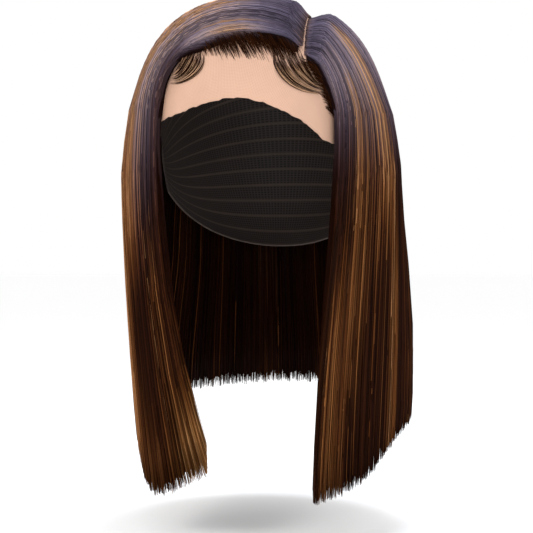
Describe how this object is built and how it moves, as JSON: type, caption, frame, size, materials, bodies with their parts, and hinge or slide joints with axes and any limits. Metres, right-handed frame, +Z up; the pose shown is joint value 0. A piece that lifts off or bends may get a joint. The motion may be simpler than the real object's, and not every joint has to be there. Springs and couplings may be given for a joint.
{
  "type": "bob wig",
  "caption": "Side-parted lace-front bob wig: sheer lace over the forehead, a cap, and long straight hair that hangs to a point at each side of an open front.",
  "frame": {"origin": "crown seat: the point on the inside of the cap that rests on the top of the head", "axes": "+Z up, the open front looks along -Y, the wearer's left is +X"},
  "size_m": [0.2124, 0.2172, 0.3524],
  "materials": {
    "hair": "sleek, glossy straight fibre, near-black roots with caramel and chestnut streaks",
    "baby_hair": "fine dark brown fibre with light strands",
    "lace": "sheer skin-toned net",
    "cap": "matt stretch net with sewn weft rows"
  },
  "bodies": {
    "root": {"lace_front": "lace", "wig_cap": "cap", "hair_left": "hair", "hair_right": "hair", "hair_back": "hair", "baby_hair_left": "baby_hair", "baby_hair_right": "baby_hair"}
  },
  "joints": []
}
